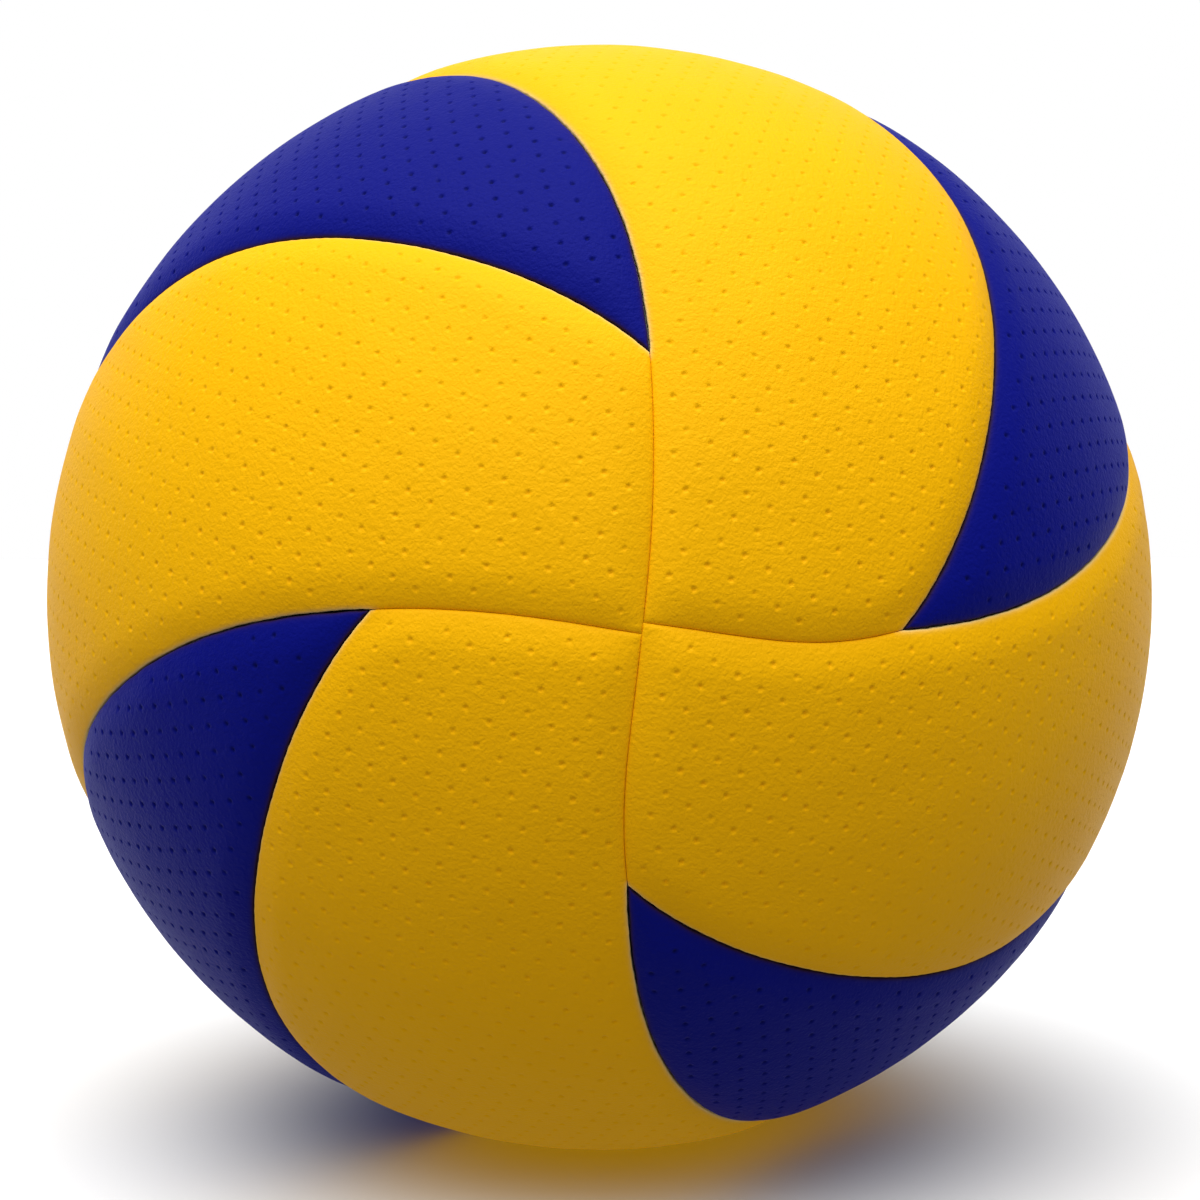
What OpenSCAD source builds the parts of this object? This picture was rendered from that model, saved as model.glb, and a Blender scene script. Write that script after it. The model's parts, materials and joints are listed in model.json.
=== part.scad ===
// Indoor volleyball, moulded and laminated, pumped up and at rest.
// The origin is the centre of the ball. +Z is up. The point where the four yellow skins
// meet faces -Y, and the point where the four blue skins meet faces +Y.
// The valve is on the upper back, in a blue skin.
// A place on the ball is given by two angles: polar, counted from the yellow meeting point
// at -Y, and turn, counted clockwise from +Z as seen from the front.

/* [Ball] */
// Diameter of the pumped ball over its skins
ball_d = 210; // [190:1:220]

/* [Layers] */
// Thickness of each microfibre skin
skin_t = 1.2; // [0.9:0.1:2]
// Thickness of the soft foam pad under each skin
foam_t = 3; // [2:0.1:5]
// Thickness of the moulded rubber carcass
carcass_t = 0.5; // [0.4:0.1:1.2]
// Thickness of the layer of wound nylon thread
winding_t = 0.5; // [0.4:0.1:1.2]
// Thickness of the bladder's butyl wall
bladder_t = 0.7; // [0.5:0.1:1.5]
// Thickness of the adhesive film between two layers
glue_t = 0.1; // [0.05:0.05:0.2]

/* [Seams] */
// Open groove between two neighbouring skins
seam_gap = 0.3; // [0.2:0.1:0.6]
// Width of the rounded edge along a skin
edge_w = 1.6; // [0.8:0.1:2]
// Depth of the rounded edge where it enters the groove
edge_drop = 0.6; // [0.3:0.1:0.8]
// Turn at which a long seam crosses the ball's equator, in degrees
long_turn = -30; // [-36:1:-24]
// Turn of a long seam at a pole, counted from its place at the equator, in degrees
long_swing = 34; // [26:1:42]
// How early a long seam makes its swing, in degrees of latitude growth
long_pace = 1.08; // [0.8:0.02:1.4]
// Polar angle of the corner where a short seam leaves a long seam
corner_polar = 22.6; // [18:0.2:28]
// Sideways bow of each half of a short seam, in degrees
short_bow = -3; // [-6:0.5:0]
// Sideways wave of each half of a short seam, in degrees
short_wave = 1.4; // [0:0.2:3]

/* [Valve] */
// Polar angle of the valve
valve_polar = 130; // [115:1:145]
// Turn of the valve
valve_turn = 8; // [0:1:16]
// Radius of the needle channel
needle_r = 1; // [0.8:0.1:1.3]
// Depth of the needle channel, which ends in the plug's self-closing slit
needle_depth = 12; // [8:1:14]
// Radius of the rubber plug
plug_r = 3; // [2.4:0.1:3.4]
// Length of the rubber plug
plug_length = 17; // [16:1:22]
// Radius of the plug's head
plug_head_r = 3.6; // [3.5:0.1:4]
// Thickness of the plug's head
plug_head_t = 1.6; // [1:0.1:2.4]
// How far the plug's head lies below the skin
plug_sink = 0.5; // [0.3:0.1:0.8]
// Outer radius of the valve seat's neck
neck_r = 5; // [4.8:0.1:6]
// Length of the valve seat's neck inside the bladder
neck_tail = 9; // [6:1:12]
// Radius of the valve seat's flange
flange_r = 12; // [9:0.5:16]
// Thickness of the valve seat's flange
flange_t = 1.5; // [1:0.1:2.5]
// How far the rim that lines the hole in the skin reaches out over the neck's edge
rim_lap = 0.4; // [0.3:0.1:1.5]
// How far the rim lies below the skin's surface
rim_sink = 0.2; // [0.1:0.1:0.4]
// Clearance round each piece of the valve
valve_fit = 0.1; // [0.05:0.05:0.2]

/* [Hidden] */

// Outer radius of each layer, from the skins inwards
ball_r = ball_d / 2;
foam_r = ball_r - skin_t - glue_t;
carcass_r = foam_r - foam_t - glue_t;
winding_r = carcass_r - carcass_t - glue_t;
bladder_r = winding_r - winding_t - glue_t;
flange_top_r = bladder_r - bladder_t - glue_t;

// Heights of the valve's pieces, counted from the ball's centre
plug_top_r = ball_r - plug_sink;
head_floor_r = plug_top_r - plug_head_t;
neck_end_r = flange_top_r - flange_t - neck_tail;
// Outer radius of the rim
rim_r = neck_r + rim_lap;

// How far a cut runs past what it cuts
overrun = 2;

// Four skins of each colour stand round the line from -Y to +Y
panel_count = 4;
quarter = 360 / panel_count;

// Stations along the ball: a few from the pole to the corner, then equal steps to the tip
cap_steps = 4;
side_steps = 24;
tip_polar = 180 - corner_polar;
stations = [
    for (i = [0 : cap_steps - 1]) corner_polar * i / cap_steps,
    for (i = [0 : side_steps]) corner_polar + (tip_polar - corner_polar) * i / side_steps,
];
last = len(stations) - 1;

// The rounded edge, as shares of edge_w inwards and of edge_drop below the skin's surface;
// its last facet runs on above the surface, so that the skin's sphere cuts it cleanly
edge_shares = [[0, 1], [0.3, 0.4], [1.35, -0.2]];

// The wedge that cuts out a panel ends this many ball radii out, beyond any chord of its cap
far_share = 1.6;

$fn = 160;

function point_at(polar, turn) = [sin(polar) * sin(turn), -cos(polar), sin(polar) * cos(turn)];

// Growth of latitude towards the yellow pole: 0 at the equator and endless at the pole
function latitude(polar) = -ln(tan(polar / 2));

// A long seam runs from pole to pole and swings round as it crosses the equator
function long_seam(polar) =
    let (t = pow(tan(polar / 2), 2 * long_pace))
    long_turn + long_swing * (1 - t) / (1 + t);

// A short seam leaves one long seam at its corner and ends on the next, past the equator
function short_seam(polar) =
    let (
        share = latitude(polar) / latitude(corner_polar),
        middle = long_turn - quarter / 2,
        reach = long_seam(corner_polar) - middle
    )
    middle + reach * share + short_bow * sin(180 * share) + short_wave * sin(360 * share);

function left_point(polar) = point_at(polar, long_seam(polar) - quarter);
function right_point(polar) =
    point_at(polar, polar <= corner_polar ? long_seam(polar) : short_seam(polar));

// Outline of a yellow panel on a sphere of radius 1: down its left side, up its right side
outline = [
    for (i = [0 : last]) left_point(stations[i]),
    for (i = [last - 1 : -1 : 1]) right_point(stations[i]),
];

function unit(v) = v / norm(v);

// The outline moved inwards by an angle, with mitred corners
function inset(points, angle) =
    let (
        n = len(points),
        sides = [for (i = [0 : n - 1]) unit(cross(points[(i + 1) % n], points[i]))]
    )
    [
        for (i = [0 : n - 1])
            let (a = sides[(i + n - 1) % n], b = sides[i])
            unit(points[i] + tan(angle) * (a + b) / (1 + a * b))
    ];

// Angle at the ball's centre that a length on its surface spans
function span(length) = length / ball_r * 180 / PI;

// A cone from the ball's centre through rings of points, each ring [radius, inset length]
module panel_wedge(rings) {
    n = len(outline);
    levels = len(rings);
    points = [
        [0, 0, 0],
        for (ring = rings) each ring[0] * inset(outline, span(ring[1])),
    ];
    // Place of point i of ring k in the list above
    function at(k, i) = 1 + k * n + i % n;
    base = levels - 1;
    faces = [
        for (i = [0 : n - 1]) [0, at(0, i + 1), at(0, i)],
        for (k = [1 : levels - 1]) for (i = [0 : n - 1]) each [
            [at(k - 1, i), at(k, i + 1), at(k, i)],
            [at(k - 1, i), at(k - 1, i + 1), at(k, i + 1)],
        ],
        [at(base, 0), at(base, 1), at(base, n - 1)],
        for (i = [1 : last - 2]) each [
            [at(base, i), at(base, n - i - 1), at(base, n - i)],
            [at(base, i), at(base, i + 1), at(base, n - i - 1)],
        ],
        [at(base, last - 1), at(base, last), at(base, last + 1)],
    ];
    polyhedron(points = points, faces = faces);
}

module shell(outer_r, thickness) {
    difference() {
        sphere(r = outer_r);
        sphere(r = outer_r - thickness);
    }
}

module at_valve() {
    rotate([0, valve_turn, 0]) rotate([90 - valve_polar, 0, 0]) children();
}

// Straight hole from the middle of the ball out through the valve's place
module valve_hole(r) {
    at_valve() cylinder(r = r, h = ball_r + overrun);
}

// A yellow panel's place is a quarter turn from the last
module yellow_place(number) {
    rotate([0, quarter * (number - 1), 0]) children();
}

// A blue panel is a yellow one turned over about the point where a long seam crosses the equator
module blue_place(number) {
    rotate([0, quarter * (number - 1), 0])
        rotate(a = 180, v = point_at(90, long_turn))
            children();
}

module skin_shape() {
    intersection() {
        shell(ball_r, skin_t);
        panel_wedge([
            for (share = edge_shares)
                [ball_r - edge_drop * share[1], seam_gap / 2 + edge_w * share[0]],
            [ball_r * far_share, seam_gap / 2 + edge_w * edge_shares[2][0]],
        ]);
    }
}

module foam_shape() {
    intersection() {
        shell(foam_r, foam_t);
        panel_wedge([[ball_r * far_share, seam_gap / 2]]);
    }
}

module skin_yellow(number) {
    color("gold") yellow_place(number) skin_shape();
}

module skin_blue(number) {
    color("midnightblue") difference() {
        blue_place(number) skin_shape();
        valve_hole(rim_r + valve_fit);
    }
}

module foam_yellow(number) {
    color("whitesmoke") yellow_place(number) foam_shape();
}

module foam_blue(number) {
    color("gainsboro") difference() {
        blue_place(number) foam_shape();
        valve_hole(neck_r + valve_fit);
    }
}

module rubber_carcass() {
    color("dimgray") difference() {
        shell(carcass_r, carcass_t);
        valve_hole(neck_r + valve_fit);
    }
}

module thread_winding() {
    color("linen") difference() {
        shell(winding_r, winding_t);
        valve_hole(neck_r + valve_fit);
    }
}

module bladder() {
    color("black") difference() {
        shell(bladder_r, bladder_t);
        valve_hole(neck_r + valve_fit);
    }
}

// Flange glued under the bladder's wall, with a neck that reaches up to the skin
module valve_seat() {
    color("saddlebrown") at_valve() difference() {
        union() {
            intersection() {
                shell(flange_top_r, flange_t);
                cylinder(r = flange_r, h = ball_r);
            }
            intersection() {
                sphere(r = foam_r);
                translate([0, 0, neck_end_r]) cylinder(r = neck_r, h = ball_r - neck_end_r);
            }
        }
        cylinder(r = plug_r + valve_fit, h = ball_r);
        translate([0, 0, head_floor_r - valve_fit]) cylinder(r = plug_head_r + valve_fit, h = ball_r);
    }
}

// Rubber plug whose head sits in the neck, with the blind channel that the needle goes down
module valve_plug() {
    color("dimgray") at_valve() difference() {
        union() {
            translate([0, 0, plug_top_r - plug_length]) cylinder(r = plug_r, h = plug_length);
            translate([0, 0, head_floor_r]) cylinder(r = plug_head_r, h = plug_head_t);
        }
        translate([0, 0, plug_top_r - needle_depth]) cylinder(r = needle_r, h = needle_depth + overrun);
    }
}

// Thin rubber ring that lines the hole in the skin
module valve_rim() {
    color("dimgray") at_valve() difference() {
        intersection() {
            shell(ball_r - rim_sink, skin_t - rim_sink);
            cylinder(r = rim_r, h = ball_r);
        }
        cylinder(r = plug_head_r + valve_fit, h = ball_r + overrun);
    }
}

bladder();
thread_winding();
rubber_carcass();
valve_seat();
valve_plug();
valve_rim();
for (number = [1 : panel_count]) {
    foam_yellow(number);
    foam_blue(number);
    skin_yellow(number);
    skin_blue(number);
}
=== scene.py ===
import json
import math

import bpy
import numpy as np
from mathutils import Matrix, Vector
from mathutils.geometry import delaunay_2d_cdt


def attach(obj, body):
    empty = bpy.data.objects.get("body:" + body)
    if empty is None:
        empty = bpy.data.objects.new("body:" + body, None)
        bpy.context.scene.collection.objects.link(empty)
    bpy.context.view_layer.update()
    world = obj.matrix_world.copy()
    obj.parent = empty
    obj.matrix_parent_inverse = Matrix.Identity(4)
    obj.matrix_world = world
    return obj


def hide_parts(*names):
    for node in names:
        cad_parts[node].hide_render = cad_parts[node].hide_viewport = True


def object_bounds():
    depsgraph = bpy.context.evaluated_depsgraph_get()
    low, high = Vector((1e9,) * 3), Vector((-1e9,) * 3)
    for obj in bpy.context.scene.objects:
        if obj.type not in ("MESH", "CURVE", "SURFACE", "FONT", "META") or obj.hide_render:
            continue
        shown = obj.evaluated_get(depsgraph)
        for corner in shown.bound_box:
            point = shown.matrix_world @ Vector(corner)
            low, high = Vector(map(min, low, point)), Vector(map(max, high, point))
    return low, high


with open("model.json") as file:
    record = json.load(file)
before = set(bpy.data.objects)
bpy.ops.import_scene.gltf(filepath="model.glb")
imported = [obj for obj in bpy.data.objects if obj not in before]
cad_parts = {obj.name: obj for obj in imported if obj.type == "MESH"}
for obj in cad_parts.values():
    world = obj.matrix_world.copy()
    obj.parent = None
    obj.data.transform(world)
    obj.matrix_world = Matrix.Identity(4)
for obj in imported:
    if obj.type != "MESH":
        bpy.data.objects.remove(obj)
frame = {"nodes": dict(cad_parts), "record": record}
cad_low, cad_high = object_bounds()

MM = 0.001
BALL_R = (cad_high.z - cad_low.z) / 2 / MM
PANELS = 4
QUARTER = math.radians(90)

# Seam curves, by angles from the yellow meeting point at -Y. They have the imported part's form,
# but the seams lie in grooves here, so the values that fit the photo differ a little. The long
# seams also bend near the ball's middle.
LONG_TURN = math.radians(-29.92)
LONG_SWING = math.radians(34.5)
LONG_PACE = 1.07
CORNER = math.radians(23.1)
SHORT_BOW = math.radians(-2.16)
SHORT_WAVE = math.radians(2.17)
MIDDLE_BEND = math.radians(2)
MIDDLE_REACH = 0.28

# The photographed ball's four yellow seams, clockwise from the upper one, run a little aside of
# the curve, in millimetres: at the meeting point, then half and full waves up to the corner
ASIDE = ((0.0, -0.2, -0.08), (0.0, -1.44, 0.34), (0.0, -0.73, 0.18), (1.72, -0.75, -0.12))
STRAIGHT = (0.0, 0.0, 0.0)

# Skins and foam pads, in millimetres
SKIN_T = 1.2
FOAM_T = 3.0
GLUE_T = 0.1
LIP_W = 0.8
LIP_DROP = 0.3
PUFF_W = 7.0
PUFF_DROP = 1.25

# Seams between panels of the same and of unlike colours, in millimetres. The width changes from
# one to the other over an angle at the corner, and waves through the ball, in radians per ball
# radius, make it a little uneven. Beside the wider seams the skins have painted light, in bands
# of the last two widths: a painted highlight on yellow lips and painted shade on blue ones.
SEAM_LIKE = 0.03
SEAM_UNLIKE = 0.3
CORNER_FADE = math.radians(0.6)
SEAM_ROUGH = 0.25
SEAM_WAVES = ((90.0, 40.0, 70.0), (-150.0, 210.0, 60.0))
PAINTED_LIP_HIGHLIGHT_W = 0.2
PAINTED_SEAM_SHADE_W = 0.25

# Gentle waviness of the skins: height, lengths and the width of the calm edge in millimetres.
# The waves' sum is divided by RIPPLE_SPREAD, which brings it back to about 1.
RIPPLE = 0.03
RIPPLE_WAVES = 14
RIPPLE_LENGTHS = (7, 22)
RIPPLE_SPREAD = 3
CALM_W = 3

# Points of the mesh, in millimetres: the step along a panel's outline, and rings inside it. A
# ring's point is kept where it is farther from every edge than a share of the ring's width,
# less the slack. The grid's points start a little inside the last ring.
SIDE_POINTS = 800
OUTLINE_STEP = 1.1
SKIN_RINGS = (0.08, 0.22, 0.42, 0.7, 1.1, 1.7)
FOAM_RINGS = (0.5, 1.5, 3.0)
RING_SHARE = 0.9
RING_SLACK = 0.05
GRID_MARGIN = SKIN_RINGS[-1] + 0.3

# The pads and the inner sides of the skins have a point at every third dimple, if it is this
# many millimetres from the edges
COARSE_EVERY = 3
COARSE_MARGIN = 4

# Dimples, in millimetres. Depths are multiplied by a number in DEPTH_RANGE. DIMPLE_RINGS are
# rings of points round each one, by radius and count, each turned by DIMPLE_TWIST radians for
# a millimetre of radius. The lattice angles are the grids' directions.
PITCH = 4.15
DIMPLE_R = 0.7
YELLOW_DEPTH = 0.28
BLUE_DEPTH = 0.34
DEPTH_RANGE = (0.75, 1.15)
DIMPLE_RINGS = ((0.24, 6), (0.45, 8), (0.66, 8), (0.92, 8))
DIMPLE_TWIST = 0.4
DIMPLE_MARGIN = 2.4
YELLOW_LATTICE = math.radians(29.5)
BLUE_LATTICE = math.radians(36)

# The hole for the valve in its skin
VALVE_HOLE = 5.5
HOLE_SIDES = 40
HOLE_SLACK = 0.001

# How many grid steps reach past a panel from its start at the pole
GRID_REACH = 85

# The spine, a line that a skin's flat sheet is laid along, from the pole to the tip: its polar
# angles at the start, after its sharp bend and at the end, with the points between them, then
# the step of its points in millimetres and the most that a panel reaches from every eighth one
SPINE_SWING = math.radians(81.7)
SPINE_PACE = 0.5
SPINE_POLAR = (1e-4, 0.3, math.pi - 0.2)
SPINE_POINTS = (120, 600)
SPINE_STEP = 0.4
SPINE_REACH = 55
SPINE_EVERY = 8

# Distances are worked out for this many points at once
BATCH = 4000
TINY = 1e-6

# Any direction that isn't a point's own
ASKEW = (0.31, 0.52, 0.79)


def unit(v):
    return v / np.linalg.norm(v, axis=-1, keepdims=True)


def point_at(polar, turn):
    """Unit vectors at polar angles from -Y and turns clockwise from +Z, seen from the front."""
    out = np.sin(polar)
    return np.stack([out * np.sin(turn), -np.cos(polar), out * np.cos(turn)], -1)


def latitude(polar):
    return -np.log(np.tan(polar / 2))


def long_seam(polar):
    high = latitude(np.maximum(polar, TINY))
    bend = high / MIDDLE_REACH * np.exp(0.5 - 0.5 * (high / MIDDLE_REACH) ** 2)
    return LONG_TURN + LONG_SWING * np.tanh(LONG_PACE * high) + MIDDLE_BEND * bend


def short_seam(polar):
    share = latitude(polar) / latitude(CORNER)
    middle = LONG_TURN - QUARTER / 2
    reach = long_seam(CORNER) - middle
    bow = SHORT_BOW * np.sin(math.pi * share) + SHORT_WAVE * np.sin(2 * math.pi * share)
    return middle + reach * share + bow


def resample(points, step):
    """Points at equal steps along a line of unit vectors, without the last one."""
    run = np.r_[0, np.cumsum(np.linalg.norm(np.diff(points, axis=0), axis=1))] * BALL_R
    count = max(2, round(run[-1] / step))
    at = np.linspace(0, run[-1], count + 1)[:-1]
    return unit(np.stack([np.interp(at, run, points[:, k]) for k in range(3)], -1))


def moved_aside(polar, turn, aside):
    """Points of a long seam, moved aside near the pole."""
    share = np.minimum(polar / CORNER, 1)
    move = aside[0] * (1 - share * share) ** 2
    move += aside[1] * np.sin(math.pi * share) + aside[2] * np.sin(2 * math.pi * share)
    across = np.stack([-np.cos(turn), np.zeros(len(turn)), np.sin(turn)], -1)
    return unit(point_at(polar, turn) + across * (move / BALL_R)[:, None])


def panel_sides(step, left, right):
    """A yellow panel's three sides: left from pole to tip, short seam, right back to the pole.

    Where the right seam misses the pole, the left side starts at its end, and where the left
    one does, the right side runs on from the pole to it.
    """
    down = np.linspace(right[0] / BALL_R, math.pi - CORNER, SIDE_POINTS)
    up = np.linspace(math.pi - CORNER, CORNER, SIDE_POINTS)
    home = np.linspace(CORNER, 0, SIDE_POINTS)
    first = moved_aside(down, long_seam(down) - QUARTER, left)
    last = moved_aside(home, long_seam(home), right)
    lines = (first, point_at(up, short_seam(up)), np.concatenate([last, first[:1]]))
    return [resample(line, step) for line in lines]


def inset(points, length):
    """A closed outline moved inwards by lengths in millimetres, with mitred corners."""
    side = unit(np.cross(np.roll(points, -1, 0), points))
    before = np.roll(side, 1, 0)
    mitre = (before + side) / (1 + np.sum(before * side, 1, keepdims=True))
    return unit(points + np.tan(length / BALL_R)[:, None] * mitre)


def unlike(q):
    """1 where a seam here has two colours beside it, 0 near both poles, where it has one."""
    polar = np.arccos(np.clip(-q[:, 1], -1, 1))
    from_pole = np.minimum(polar, math.pi - polar)
    return np.clip((from_pole - CORNER) / CORNER_FADE + 1, 0, 1)


def half_seam(q):
    """Half the seam's width: it is narrow between panels of the same colour."""
    width = SEAM_LIKE + (SEAM_UNLIKE - SEAM_LIKE) * unlike(q)
    waves = sum(np.sin(q @ wave) for wave in SEAM_WAVES)
    return width / 2 * (1 + SEAM_ROUGH * waves)


def line_distance(q, line):
    """Distance in millimetres of unit vectors q from an open line of unit vectors."""
    a = line[:-1]
    ab = np.diff(line, axis=0)
    ab2 = np.sum(ab * ab, 1)
    a_ab = np.sum(a * ab, 1)
    out = np.empty(len(q))
    for i in range(0, len(q), BATCH):
        part = q[i : i + BATCH]
        along = part @ ab.T - a_ab
        w = np.clip(along / ab2, 0, 1)
        d2 = 2 - 2 * part @ a.T + w * (w * ab2 - 2 * along)
        out[i : i + BATCH] = np.sqrt(np.maximum(d2.min(1), 0))
    return out * BALL_R


class Sheet:
    """The flat sheet of a skin, laid on the ball along a spine with little stretch."""

    def __init__(self):
        start, bent, end = SPINE_POLAR
        first, second = SPINE_POINTS
        polar = np.r_[np.linspace(start, bent, first)[:-1], np.linspace(bent, end, second)]
        self.c = resample(point_at(polar, self.turn_at(polar)), SPINE_STEP)
        self.t = unit(np.gradient(self.c, axis=0))
        self.t = unit(self.t - self.c * np.sum(self.t * self.c, 1, keepdims=True))
        self.n = np.cross(self.c, self.t)
        self.heading = np.cumsum(np.sum(np.gradient(self.t, axis=0) * self.n, 1))
        self.flat_t = np.stack([np.cos(self.heading), np.sin(self.heading)], -1)
        self.flat_n = np.stack([-np.sin(self.heading), np.cos(self.heading)], -1)
        step = np.linalg.norm(np.diff(self.c, axis=0), axis=1).mean() * BALL_R
        self.flat_c = np.cumsum(self.flat_t, 0) * step

    def turn_at(self, polar):
        return LONG_TURN - QUARTER * 3 / 4 + SPINE_SWING * np.tanh(SPINE_PACE * latitude(polar))

    def project(self, q):
        """Stereographic projection from the spine's middle, in millimetres; it keeps circles."""
        k = len(self.c) // 2
        across = np.stack([q @ self.t[k], q @ self.n[k]], -1)
        return across * 2 * BALL_R / (1 + q @ self.c[k])[:, None]

    def on_ball(self, flat):
        """Unit vectors for points of the flat sheet."""
        gap = np.linalg.norm(flat[:, None] - self.flat_c[None], axis=2)
        k = np.argmin(gap, 1)
        off = flat - self.flat_c[k]
        beside = np.sum(off * self.flat_n[k], 1) / BALL_R
        ahead = np.sum(off * self.flat_t[k], 1) / BALL_R
        q = self.c[k] * np.cos(beside)[:, None] + self.n[k] * np.sin(beside)[:, None]
        return unit(q + self.t[k] * ahead[:, None])

    def lattice(self, turn):
        """Flat directions of the dimple grid, turned at the corner as on the photographed ball."""
        k = np.argmin(np.abs(np.arccos(-self.c[:, 1]) - CORNER))
        c = self.c[k]
        to_pole = unit(np.array([0.0, -1, 0]) + c * c[1])
        onwards = -np.cross(to_pole, c)
        turned = turn - self.turn_at(CORNER)
        aim = math.cos(turned) * onwards + math.sin(turned) * to_pole
        angle = self.heading[k] + math.atan2(aim @ self.n[k], aim @ self.t[k])
        c, s = math.cos(angle), math.sin(angle)
        return np.array([[c, s], [-s, c]])


def ring_round(q, radius, count, turn=0.0):
    """Points on a small circle round each unit vector, radius in millimetres."""
    e = unit(np.cross(q, ASKEW))
    f = np.cross(q, e)
    out = []
    for i in range(count):
        a = turn + 2 * math.pi * i / count
        out.append(unit(q + (e * math.cos(a) + f * math.sin(a)) * math.tan(radius / BALL_R)))
    return np.stack(out, 1)


def inside(place, loop):
    """Which places lie inside a closed loop, both as projected."""
    hit = np.zeros(len(place), bool)
    for p, q in zip(loop, np.roll(loop, -1, 0)):
        if p[1] == q[1]:
            continue
        span = (p[1] > place[:, 1]) != (q[1] > place[:, 1])
        cross = p[0] + (place[:, 1] - p[1]) * (q[0] - p[0]) / (q[1] - p[1])
        hit ^= span & (place[:, 0] < cross)
    return hit


class Panel:
    """A panel at the first yellow one's place: its edges, its crowned form and its dimples."""

    def __init__(self, lattice, left=STRAIGHT, right=STRAIGHT, hole=None, hole_r=0.0):
        sides = panel_sides(OUTLINE_STEP, left, right)
        self.outline = np.concatenate(sides)
        closed = np.concatenate([self.outline, self.outline[:1]])
        ends = np.cumsum([0] + [len(side) for side in sides])
        self.lines = [closed[ends[k] : ends[k + 1] + 1] for k in range(3)]
        self.sheet = Sheet()
        rim = inset(self.outline, half_seam(self.outline))
        self.rim_place = self.sheet.project(rim)
        self.loops = [rim]
        self.hole, self.hole_r = hole, hole_r
        if hole is not None:
            self.loops.append(ring_round(hole[None], hole_r, HOLE_SIDES)[0])
        self.make_grid(self.sheet.lattice(lattice) * PITCH)
        self.prepare()

    def from_sides(self, q):
        """Distances from the three edges, one column each."""
        far = np.stack([line_distance(q, line) for line in self.lines], 1)
        return np.maximum(far - half_seam(q)[:, None], 0)

    def gap(self, q):
        return self.from_sides(q).min(1)

    def from_hole(self, q):
        if self.hole is None:
            return np.full(len(q), np.inf)
        return np.arccos(np.clip(q @ self.hole, -1, 1)) * BALL_R - self.hole_r

    def fall(self, q):
        """How far the skin's face lies below the ball's sphere: a broad puff and a tight lip."""
        sides = self.from_sides(q)
        puff = 1 - np.minimum(sides / PUFF_W, 1)
        lip = 1 - np.minimum(np.column_stack([sides, self.from_hole(q)]) / LIP_W, 1)
        lip = np.clip(lip, 0, 1)
        broad = 1 - np.prod(1 - puff * puff, 1)
        tight = 1 - np.prod(np.sqrt(1 - lip * lip), 1)
        return PUFF_DROP * broad + LIP_DROP * tight

    def on_panel(self, flat, margin):
        """The flat points that fall on the panel, as unit vectors."""
        gap = np.linalg.norm(flat[:, None] - self.sheet.flat_c[None, ::SPINE_EVERY], axis=2)
        q = self.sheet.on_ball(flat[gap.min(1) < SPINE_REACH])
        q = q[inside(self.sheet.project(q), self.rim_place)]
        return q[(self.gap(q) > margin) & (self.from_hole(q) > margin)]

    def make_grid(self, axes):
        """Dimple places, and plain points of the same grid and between them."""
        count = np.arange(-GRID_REACH, GRID_REACH)
        ij = np.stack(np.meshgrid(count, count), -1).reshape(-1, 2)
        every = self.on_panel(ij @ axes, GRID_MARGIN)
        far = (self.gap(every) > DIMPLE_MARGIN) & (self.from_hole(every) > DIMPLE_MARGIN)
        self.spots, plain = every[far], [every[~far]]
        for shift in ((0.5, 0), (0, 0.5), (0.5, 0.5)):
            plain.append(self.on_panel((ij + shift) @ axes, GRID_MARGIN))
        self.plain = np.concatenate(plain)

    def rings(self, widths):
        """Rings of points along the edges, without those that come too close to another edge."""
        kept = []
        for width in widths:
            ring = inset(self.outline, half_seam(self.outline) + width)
            kept.append(ring[self.gap(ring) > RING_SHARE * width - RING_SLACK])
        if self.hole is not None:
            kept += [ring_round(self.hole[None], self.hole_r + w, HOLE_SIDES)[0] for w in widths]
        return kept

    def triangles(self, q):
        """Outward triangles between the loops, first in q, and the points that follow them."""
        edges, start = [], 0
        for loop in self.loops:
            count = len(loop)
            edges += [(start + i, start + (i + 1) % count) for i in range(count)]
            start += count
        place = self.sheet.project(q)
        found = delaunay_2d_cdt([Vector(p) for p in place], edges, [], 0, TINY, True)
        first = np.array([same[0] for same in found[3]])
        tris = first[np.array(found[2])]
        keep = inside(place[tris].mean(1), self.rim_place)
        keep &= self.from_hole(unit(q[tris].mean(1))) > -HOLE_SLACK
        tris = tris[keep]
        a, b, c = (q[tris[:, k]] for k in range(3))
        turned = np.sum(np.cross(b - a, c - a) * a, 1) < 0
        tris[turned] = tris[turned][:, ::-1]
        return tris

    def walls(self, low_start):
        """Triangles between the loops of the upper side and the same loops of the lower side."""
        faces, start = [], 0
        for loop in self.loops:
            top = start + np.arange(len(loop))
            after = np.roll(top, -1)
            low, low_after = top + low_start, after + low_start
            faces.append(np.stack([top, low_after, low], 1))
            faces.append(np.stack([top, after, low_after], 1))
            start += len(loop)
        return np.concatenate(faces)

    def prepare(self):
        """The points and triangles of a skin's face, and of a coarse side without dimples."""
        circles = [ring_round(self.spots, r, n, DIMPLE_TWIST * r) for r, n in DIMPLE_RINGS]
        parts = [*self.loops, *self.rings(SKIN_RINGS), self.plain]
        before = sum(len(part) for part in parts)
        every = np.arange(len(self.spots))
        parts += [self.spots] + [circle.reshape(-1, 3) for circle in circles]
        owner = [np.full(before, -1), every] + [np.repeat(every, n) for _, n in DIMPLE_RINGS]
        radius = [np.zeros(before + len(every))]
        radius += [np.full(len(every) * n, r) for r, n in DIMPLE_RINGS]
        self.q, self.owner, self.radius = (np.concatenate(x) for x in (parts, owner, radius))
        self.tris = self.triangles(self.q)
        self.drop = self.fall(self.q)
        self.far = self.gap(self.q)
        self.calm = np.clip(self.far / CALM_W, 0, 1)
        self.unlike = unlike(self.q)

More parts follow.
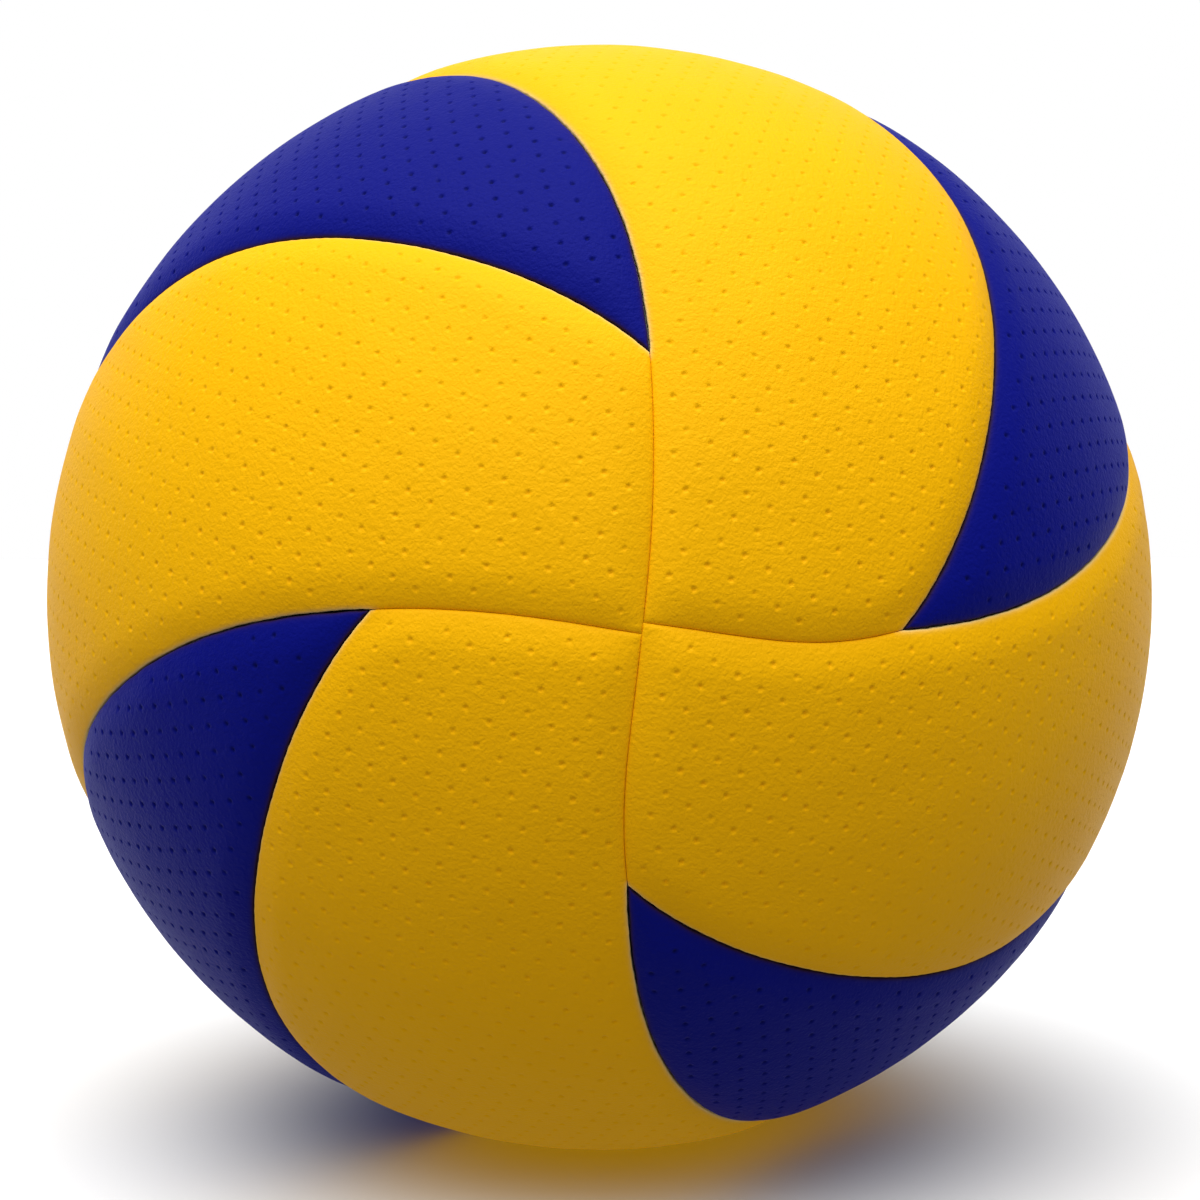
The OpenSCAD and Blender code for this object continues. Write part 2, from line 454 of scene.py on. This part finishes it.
        coarse = self.spots[::COARSE_EVERY]
        clear = (self.gap(coarse) > COARSE_MARGIN) & (self.from_hole(coarse) > COARSE_MARGIN)
        coarse = coarse[clear]
        self.coarse = np.concatenate([*self.loops, *self.rings(FOAM_RINGS), coarse])
        self.coarse_up = self.triangles(self.coarse)
        self.coarse_down = self.coarse_up[:, ::-1]
        self.coarse_drop = self.fall(self.coarse)

    def skin(self, name, turn, seed, painted_edge_w, dimple):
        """A closed skin moved to its place by a 3 by 3 matrix, with painted edge light this wide.
        """
        rng = np.random.default_rng(seed)
        face = self.q @ turn.T
        deep = dimple * rng.uniform(*DEPTH_RANGE, len(self.spots))
        share = 0.5 + 0.5 * np.cos(math.pi * np.clip(self.radius / DIMPLE_R, 0, 1))
        dent = np.where(self.owner >= 0, deep[self.owner] * share, 0)
        height = BALL_R - self.drop - dent + RIPPLE * ripple(face, rng) * self.calm
        back = self.coarse @ turn.T
        low = BALL_R - self.coarse_drop - SKIN_T
        verts = np.concatenate([face * height[:, None], back * low[:, None]])
        faces = [self.tris, self.coarse_down + len(face), self.walls(len(face))]
        piece = make_mesh(name, verts * MM, np.concatenate(faces))
        # Masks for painted light: edge highlight on yellow, edge shade on blue, shade in dimples
        edge = np.exp(-self.far / painted_edge_w) * self.unlike
        for key, front, behind in (("edge", edge, 1.0), ("pit_shade", dent / dimple, 0.0)):
            values = piece.data.attributes.new(key, "FLOAT", "POINT")
            values.data.foreach_set("value", np.r_[front, np.full(len(back), behind)])
        return piece

    def pad(self, name, turn):
        """The closed foam pad under a skin, thinner where the skin's edges pull it down."""
        both = self.coarse @ turn.T
        top = BALL_R - SKIN_T - GLUE_T - self.coarse_drop
        low = BALL_R - SKIN_T - GLUE_T - FOAM_T
        verts = np.concatenate([both * top[:, None], both * low])
        faces = [self.coarse_up, self.coarse_down + len(both), self.walls(len(both))]
        return make_mesh(name, verts * MM, np.concatenate(faces))


def ripple(q, rng):
    """A gentle waviness of the skin, from a few random waves."""
    out = np.zeros(len(q))
    for _ in range(RIPPLE_WAVES):
        wave = unit(rng.normal(size=3)) * 2 * math.pi * BALL_R / rng.uniform(*RIPPLE_LENGTHS)
        out += np.sin(q @ wave + rng.uniform(0, 2 * math.pi))
    return out / RIPPLE_SPREAD


def make_mesh(name, verts, faces):
    mesh = bpy.data.meshes.new(name)
    mesh.from_pydata(verts, [], faces)
    mesh.shade_smooth()
    piece = bpy.data.objects.new(name, mesh)
    bpy.context.scene.collection.objects.link(piece)
    return piece


def about(axis, angle):
    """The 3 by 3 matrix of a turn about an axis."""
    x, y, z = axis
    c, s = math.cos(angle), math.sin(angle)
    k = np.array([[0, -z, y], [z, 0, -x], [-y, x, 0]])
    return np.eye(3) + s * k + (1 - c) * k @ k


# Materials


def new_material(name):
    mat = bpy.data.materials.new(name)
    mat.use_nodes = True
    tree = mat.node_tree
    return mat, tree, tree.nodes["Principled BSDF"]


def add(tree, kind, **values):
    """A new node, with its properties and its sockets' values set by name."""
    node = tree.nodes.new(kind)
    for key, value in values.items():
        if key in node.inputs:
            node.inputs[key].default_value = value
        else:
            setattr(node, key, value)
    return node


def mix(tree, a, b):
    """A node that mixes two colours, with its factor, first and result sockets."""
    node = tree.nodes.new("ShaderNodeMix")
    node.data_type = "RGBA"
    found = {socket.identifier: socket for socket in node.inputs}
    found["A_Color"].default_value = (*a, 1)
    found["B_Color"].default_value = (*b, 1)
    result = next(socket for socket in node.outputs if socket.identifier == "Result_Color")
    return found["Factor_Float"], found["A_Color"], result


# Skins: grain's scales per metre and heights in metres, and how roughness varies with it
DRIFT_SCALE = 60.0
GRAIN_SCALE = 1150.0
GRAIN_HEIGHT = 0.00017
CREASE_SCALE = 1300.0
CREASE_HEIGHT = 0.0001
ROUGH_BELOW = 0.06
ROUGH_ABOVE = 0.08
SHEEN_ROUGH = 0.5

# Rubber, foam and thread
PLAIN_DARK = 0.8
PLAIN_LIGHT = 1.2
PLAIN_HEIGHT = 0.0002
PLAIN_SPECULAR = 0.25


def skin_material(name, colour, dark, edge, pit_shade, sheen, rough, specular):
    """Microfibre: its edge colour is painted edge light, its pit colour painted shade in dimples.
    """
    mat, tree, shader = new_material(name)
    link = tree.links.new
    coords = add(tree, "ShaderNodeTexCoord")

    # Colour drifts a little from place to place
    drift = add(tree, "ShaderNodeTexNoise", Scale=DRIFT_SCALE, Detail=3.0)
    link(coords.outputs["Object"], drift.inputs["Vector"])
    factor, _, result = mix(tree, colour, dark)
    link(drift.outputs["Fac"], factor)

    # Painted light: the edges by the wider seams get a painted highlight on yellow and painted
    # shade on blue, and the dimples' floors get painted shade
    for key, (own, most) in (("edge", edge), ("pit_shade", pit_shade)):
        place = add(tree, "ShaderNodeAttribute", attribute_name=key)
        share = add(tree, "ShaderNodeMath", operation="MULTIPLY")
        link(place.outputs["Fac"], share.inputs[0])
        share.inputs[1].default_value = most
        factor, first, after = mix(tree, colour, own)
        link(share.outputs[0], factor)
        link(result, first)
        result = after
    link(result, shader.inputs["Base Color"])
    shader.inputs["Sheen Weight"].default_value = sheen[1]
    shader.inputs["Sheen Roughness"].default_value = SHEEN_ROUGH
    shader.inputs["Sheen Tint"].default_value = (*sheen[0], 1)

    # Fine leathery grain
    grain = add(tree, "ShaderNodeTexNoise", Scale=GRAIN_SCALE, Detail=3.0, Roughness=0.6)
    link(coords.outputs["Object"], grain.inputs["Vector"])
    crease = add(tree, "ShaderNodeTexVoronoi", Scale=CREASE_SCALE, feature="DISTANCE_TO_EDGE")
    link(coords.outputs["Object"], crease.inputs["Vector"])
    bump1 = add(tree, "ShaderNodeBump", Strength=1.0, Distance=GRAIN_HEIGHT)
    link(grain.outputs["Fac"], bump1.inputs["Height"])
    bump2 = add(tree, "ShaderNodeBump", Strength=0.6, Distance=CREASE_HEIGHT)
    link(crease.outputs["Distance"], bump2.inputs["Height"])
    link(bump1.outputs["Normal"], bump2.inputs["Normal"])
    link(bump2.outputs["Normal"], shader.inputs["Normal"])

    gloss = add(tree, "ShaderNodeMapRange")
    gloss.inputs["To Min"].default_value = rough - ROUGH_BELOW
    gloss.inputs["To Max"].default_value = rough + ROUGH_ABOVE
    link(grain.outputs["Fac"], gloss.inputs["Value"])
    link(gloss.outputs["Result"], shader.inputs["Roughness"])
    shader.inputs["Specular IOR Level"].default_value = specular
    return mat


def plain_material(name, colour, rough, scale, strength):
    """Rubber, foam or thread: one colour with fine grain and a little drift."""
    mat, tree, shader = new_material(name)
    link = tree.links.new
    coords = add(tree, "ShaderNodeTexCoord")
    noise = add(tree, "ShaderNodeTexNoise", Scale=scale, Detail=4.0)
    link(coords.outputs["Object"], noise.inputs["Vector"])
    darker = [c * PLAIN_DARK for c in colour]
    lighter = [min(c * PLAIN_LIGHT, 1) for c in colour]
    factor, _, result = mix(tree, darker, lighter)
    link(noise.outputs["Fac"], factor)
    link(result, shader.inputs["Base Color"])
    bump = add(tree, "ShaderNodeBump", Strength=strength, Distance=PLAIN_HEIGHT)
    link(noise.outputs["Fac"], bump.inputs["Height"])
    link(bump.outputs["Normal"], shader.inputs["Normal"])
    shader.inputs["Roughness"].default_value = rough
    shader.inputs["Specular IOR Level"].default_value = PLAIN_SPECULAR
    return mat


YELLOW = skin_material(
    "yellow_skin",
    colour=(0.93, 0.475, 0.0022),
    dark=(0.89, 0.447, 0.0014),
    # Painted highlight on the lips beside blue panels
    edge=((0.95, 0.75, 0.35), 0.85),
    # Painted shade in the dimples
    pit_shade=((0.6, 0.22, 0.001), 0.08),
    sheen=((1.0, 0.6, 0.05), 0.06),
    rough=0.45,
    specular=0.03,
)
BLUE = skin_material(
    "blue_skin",
    colour=(0.0026, 0.0051, 0.181),
    dark=(0.0023, 0.0046, 0.167),
    # Painted shade on the lips beside yellow panels
    edge=((0.03, 0.012, 0.01), 0.95),
    # Painted shade in the dimples
    pit_shade=((0.001, 0.002, 0.03), 0.65),
    sheen=((0.04, 0.07, 1.0), 0.055),
    rough=0.5,
    specular=0.03,
)
PAD_FOAM = plain_material("pad_foam", (0.75, 0.75, 0.72), rough=0.9, scale=1200, strength=0.5)
BUTYL = plain_material("butyl", (0.02, 0.02, 0.022), rough=0.6, scale=300, strength=0.2)
THREAD = plain_material("thread", (0.7, 0.66, 0.56), rough=0.7, scale=900, strength=0.6)
CARCASS = plain_material("carcass", (0.03, 0.03, 0.032), rough=0.7, scale=500, strength=0.3)
VALVE = plain_material("valve", (0.018, 0.018, 0.02), rough=0.5, scale=900, strength=0.35)
FINISHES = {
    "bladder": BUTYL,
    "thread_winding": THREAD,
    "rubber_carcass": CARCASS,
    "valve_seat": VALVE,
    "valve_plug": VALVE,
    "valve_rim": VALVE,
}

for name, mat in FINISHES.items():
    mesh = frame["nodes"][name].data
    mesh.materials.clear()
    mesh.materials.append(mat)

# The record has the valve's place, where its skin needs a hole
needle = next(m for m in frame["record"]["mounts"] if m["name"] == "needle_channel")
valve_way = unit(np.array(needle["axis"]))

# This half turn takes yellow panels to the places of blue ones
over = about(point_at(math.pi / 2, LONG_TURN), math.pi)
plain_panel = Panel(BLUE_LATTICE)
places = {}
for number in range(1, PANELS + 1):
    spin = about((0, 1, 0), QUARTER * (number - 1))
    yellow_panel = Panel(YELLOW_LATTICE, left=ASIDE[number - 2], right=ASIDE[number - 1])
    blue_panel = plain_panel
    if number == 1:
        blue_panel = Panel(BLUE_LATTICE, hole=(spin @ over).T @ valve_way, hole_r=VALVE_HOLE)
    # Each skin gets a band of painted edge light: a highlight on yellow, shade on blue
    yellow = (yellow_panel, spin, YELLOW, "yellow_microfibre", PAINTED_LIP_HIGHLIGHT_W, YELLOW_DEPTH)
    blue = (blue_panel, spin @ over, BLUE, "blue_microfibre", PAINTED_SEAM_SHADE_W, BLUE_DEPTH)
    places[f"skin_yellow_{number}"], places[f"skin_blue_{number}"] = yellow, blue

for seed, (name, (panel, turn, finish, slot, painted_edge_w, dimple)) in enumerate(places.items(), 1):
    skin = panel.skin(f"dimpled_{name}", turn, seed, painted_edge_w, dimple)
    pad_name = name.replace("skin", "foam")
    pad = panel.pad(f"skived_{pad_name}", turn)
    pair = ((skin, finish, name, slot), (pad, PAD_FOAM, pad_name, "foam"))
    for piece, mat, node, its_slot in pair:
        piece.data.materials.append(mat)
        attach(piece, "root")
        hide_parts(node)

# Studio: a dome of light that is brightest overhead, a little to the front and left, and an
# even glow from the floor. Levels are such that 1 shows a colour as it is written. The camera
# sees the floor lit by the dome alone, with the object's shadow.
DOME_WAY = (-0.1, -0.29, 1.0)
DOME_TOP = 6.5
DOME_POWER = 5.5
FLOOR_SIDE = 12.0
FLOOR_SEEN = 0.85
FLOOR_GLOW = (0.415, 0.405, 0.4)


def seen_rays(tree):
    """1 for rays from the camera, also in gloss or through glass, 0 for those that carry light."""
    path = add(tree, "ShaderNodeLightPath")
    seen = path.outputs["Is Camera Ray"]
    for other in ("Is Glossy Ray", "Is Transmission Ray"):
        either = add(tree, "ShaderNodeMath", operation="MAXIMUM")
        tree.links.new(seen, either.inputs[0])
        tree.links.new(path.outputs[other], either.inputs[1])
        seen = either.outputs[0]
    return seen


def make_floor():
    bpy.ops.mesh.primitive_plane_add(size=FLOOR_SIDE, location=(0, 0, -BALL_R * MM))
    floor = bpy.context.object
    floor.name = "floor"
    mat, tree, shader = new_material("floor")
    link = tree.links.new
    seen = seen_rays(tree)
    factor, _, colour = mix(tree, (0, 0, 0), [FLOOR_SEEN] * 3)
    link(seen, factor)
    link(colour, shader.inputs["Base Color"])
    glow = add(tree, "ShaderNodeMath", operation="SUBTRACT")
    glow.inputs[0].default_value = 1.0
    link(seen, glow.inputs[1])
    link(glow.outputs[0], shader.inputs["Emission Strength"])
    shader.inputs["Emission Color"].default_value = (*FLOOR_GLOW, 1)
    shader.inputs["Roughness"].default_value = 1.0
    shader.inputs["Specular IOR Level"].default_value = 0.0
    floor.data.materials.append(mat)


def make_world():
    world = bpy.data.worlds.new("studio")
    bpy.context.scene.world = world
    world.use_nodes = True
    tree = world.node_tree
    link = tree.links.new
    coords = add(tree, "ShaderNodeTexCoord")
    towards = add(tree, "ShaderNodeVectorMath", operation="DOT_PRODUCT")
    link(coords.outputs["Generated"], towards.inputs[0])
    towards.inputs[1].default_value = Vector(DOME_WAY).normalized()
    above = add(tree, "ShaderNodeMath", operation="MAXIMUM")
    link(towards.outputs["Value"], above.inputs[0])
    above.inputs[1].default_value = 0.0
    power = add(tree, "ShaderNodeMath", operation="POWER")
    link(above.outputs[0], power.inputs[0])
    power.inputs[1].default_value = DOME_POWER
    level = add(tree, "ShaderNodeMath", operation="MULTIPLY")
    link(power.outputs[0], level.inputs[0])
    level.inputs[1].default_value = DOME_TOP
    strength = add(tree, "ShaderNodeMath", operation="MAXIMUM")
    link(level.outputs[0], strength.inputs[0])
    link(seen_rays(tree), strength.inputs[1])
    background = tree.nodes["Background"]
    link(strength.outputs[0], background.inputs["Strength"])
    background.inputs["Color"].default_value = (1, 1, 1, 1)


# The camera stands four ball radii out; the ball's outline has this place and radius in the photo
CAMERA_OUT = 4.0
CAMERA_AZIMUTH = math.radians(-3.6)
CAMERA_RISE = math.radians(2.07)
PHOTO_SIDE = 1200
OUTLINE_X, OUTLINE_Y, OUTLINE_R = 599.3, 597.3, 552.6


def make_camera():
    data = bpy.data.cameras.new("camera")
    camera = bpy.data.objects.new("camera", data)
    bpy.context.scene.collection.objects.link(camera)
    bpy.context.scene.camera = camera
    a, e = CAMERA_AZIMUTH, CAMERA_RISE
    back = Vector((math.sin(a) * math.cos(e), -math.cos(a) * math.cos(e), math.sin(e)))
    camera.location = back * CAMERA_OUT * BALL_R * MM
    camera.rotation_euler = (-back).to_track_quat("-Z", "Y").to_euler()
    half = math.tan(math.asin(1 / CAMERA_OUT)) * PHOTO_SIDE / 2 / OUTLINE_R
    data.sensor_width = 36.0
    data.lens = data.sensor_width / 2 / half
    data.shift_x = (PHOTO_SIDE / 2 - OUTLINE_X) / PHOTO_SIDE
    data.shift_y = (OUTLINE_Y - PHOTO_SIDE / 2) / PHOTO_SIDE
    data.clip_start, data.clip_end = 0.01, 20


make_floor()
make_world()
make_camera()
bpy.context.scene.view_settings.view_transform = "Standard"
